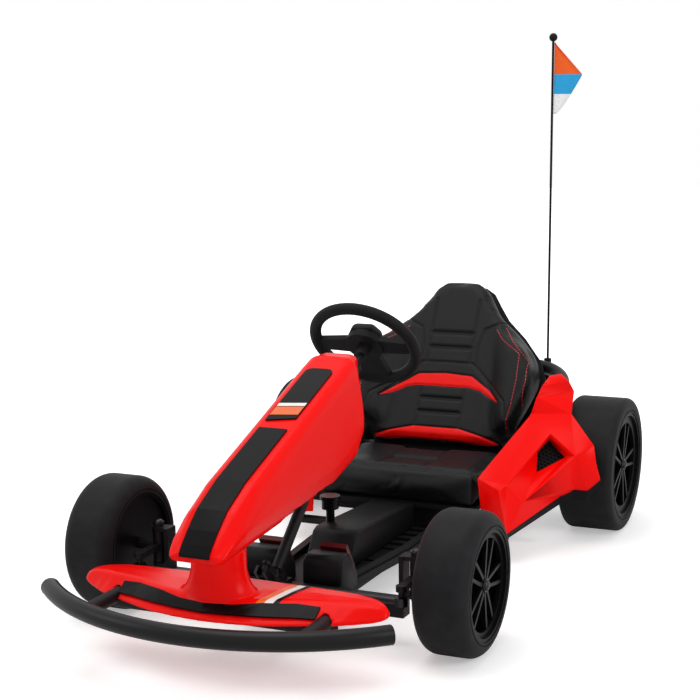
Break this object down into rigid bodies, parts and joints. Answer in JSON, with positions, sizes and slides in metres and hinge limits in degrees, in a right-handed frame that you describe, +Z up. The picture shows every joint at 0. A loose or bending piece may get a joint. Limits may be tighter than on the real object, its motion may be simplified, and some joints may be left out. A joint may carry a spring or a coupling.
{
  "type": "child's ride-on electric drift kart",
  "caption": "Child's ride-on electric drift kart with red moulded bodywork, padded bucket seat, slick tyres, working steering and a pennant flag.",
  "frame": {"origin": "on the floor under the middle of the kart's overall length and width", "axes": "+Z up, the kart drives towards -Y, +X is the driver's left"},
  "size_m": [0.778, 1.337, 1.013],
  "materials": {
    "red_body": "gloss moulded red",
    "gloss_trim": "high gloss black",
    "black_moulding": "grained matt black",
    "black_tube": "satin black powder coat",
    "frame_steel": "semi-matt black powder coat",
    "bright_steel": "zinc plated",
    "tyre": "matt slick",
    "rim_black": "satin moulded black",
    "grip_rubber": "grained grip",
    "leatherette": "padded leatherette with red stitching",
    "pedal_red": "dark red enamel",
    "flag_cloth": "woven pennant in orange, sky blue and white"
  },
  "bodies": {
    "root": {"bumper_bar": "black_tube", "front_subframe": "frame_steel", "front_wing": "red_body", "wing_strip": "gloss_trim", "nose_cone": "red_body", "nose_panel": "gloss_trim", "number_plate": "gloss_trim", "column_jacket": "frame_steel", "front_beam": "frame_steel", "rear_axle": "bright_steel", "drive_units": "black_moulding", "frame_rails": "frame_steel", "floor_pan": "black_moulding", "battery_box": "black_moulding", "console": "black_moulding", "selector_knob": "gloss_trim", "pedal_housings": "black_moulding", "pedals": "pedal_red", "seat_shell": "black_moulding", "seat_cushion": "leatherette", "seat_back": "leatherette", "seat_wings": "leatherette", "side_pod_left": "red_body", "side_pod_right": "red_body", "pod_grilles": "black_moulding", "pod_skirts": "black_moulding", "rear_hoop": "black_tube", "flag_socket": "black_moulding", "flag_pole": "black_moulding", "flag": "flag_cloth"},
    "steering": {"steering_rim": "grip_rubber", "steering_pad": "black_moulding", "steering_shaft": "frame_steel"},
    "knuckle_l": {"knuckle_left": "frame_steel"},
    "knuckle_r": {"knuckle_right": "frame_steel"},
    "tie": {"track_rod": "bright_steel"},
    "wheel_fl": {"front_tyre_left": "tyre", "front_rim_left": "rim_black"},
    "wheel_fr": {"front_tyre_right": "tyre", "front_rim_right": "rim_black"},
    "wheel_rl": {"rear_tyre_left": "tyre", "rear_rim_left": "rim_black"},
    "wheel_rr": {"rear_tyre_right": "tyre", "rear_rim_right": "rim_black"}
  },
  "joints": [
    {"name": "steering_turn", "type": "hinge", "parent": "root", "child": "steering", "pos_m": [0, 0.067, 0.44], "axis": [0, 0.7547, 0.6561], "range_deg": [-45, 45]},
    {"name": "kingpin_left", "type": "hinge", "parent": "root", "child": "knuckle_l", "pos_m": [0.245, -0.2875, 0.12], "axis": [0, 0, 1], "range_deg": [-25, 25]},
    {"name": "kingpin_right", "type": "hinge", "parent": "root", "child": "knuckle_r", "pos_m": [-0.245, -0.2875, 0.12], "axis": [0, 0, 1], "range_deg": [-25, 25]},
    {"name": "track_rod_eye", "type": "hinge", "parent": "knuckle_l", "child": "tie", "pos_m": [0.245, -0.3525, 0.098], "axis": [0, 0, 1], "range_deg": [-25, 25]},
    {"name": "front_wheel_left", "type": "hinge", "parent": "knuckle_l", "child": "wheel_fl", "pos_m": [0.325, -0.2875, 0.12], "axis": [1, 0, 0], "continuous": true},
    {"name": "front_wheel_right", "type": "hinge", "parent": "knuckle_r", "child": "wheel_fr", "pos_m": [-0.325, -0.2875, 0.12], "axis": [1, 0, 0], "continuous": true},
    {"name": "rear_wheel_left", "type": "hinge", "parent": "root", "child": "wheel_rl", "pos_m": [0.332, 0.5295, 0.139], "axis": [1, 0, 0], "continuous": true},
    {"name": "rear_wheel_right", "type": "hinge", "parent": "root", "child": "wheel_rr", "pos_m": [-0.332, 0.5295, 0.139], "axis": [1, 0, 0], "continuous": true}
  ],
  "couplings": [
    {"joint": "kingpin_left", "follows": "steering_turn", "ratio": 0.55},
    {"joint": "kingpin_right", "follows": "steering_turn", "ratio": 0.55},
    {"joint": "track_rod_eye", "follows": "steering_turn", "ratio": -0.55}
  ]
}
